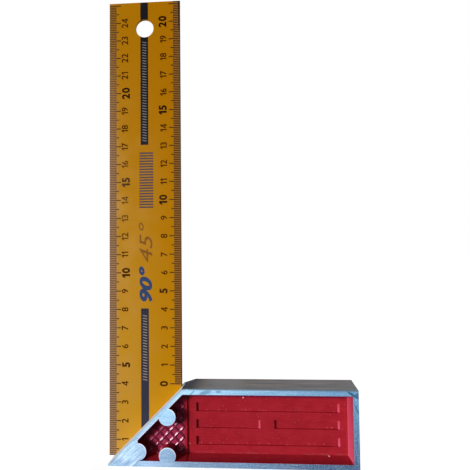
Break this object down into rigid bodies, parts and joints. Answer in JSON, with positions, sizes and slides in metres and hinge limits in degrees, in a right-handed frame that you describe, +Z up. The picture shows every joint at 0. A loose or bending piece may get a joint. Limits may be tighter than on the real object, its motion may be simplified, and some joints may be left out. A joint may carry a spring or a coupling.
{
  "type": "carpenter square",
  "caption": "Carpenter square: a flat steel blade with scales on both long edges, riveted at a right angle into a recessed cast stock with a mitred heel.",
  "frame": {"origin": "on the stock's outer face, under the middle of the square's overall width and at mid-thickness", "axes": "+Z up along the blade, +X along the stock away from the blade, the side with the pictured face towards -Y"},
  "size_m": [0.132, 0.02, 0.2515],
  "materials": {
    "blade_lacquer": "yellow lacquer on hardened steel, printed scales",
    "cast_aluminium": "die cast, rims ground",
    "rivet_aluminium": "ground flush",
    "red_lacquer": "red lacquer coat, satin gloss"
  },
  "bodies": {
    "root": {"blade": "blade_lacquer", "stock": "cast_aluminium", "rivet_upper": "rivet_aluminium", "rivet_lower": "rivet_aluminium", "rivet_tip": "rivet_aluminium", "lacquer_front": "red_lacquer", "lacquer_rear": "red_lacquer"}
  },
  "joints": []
}
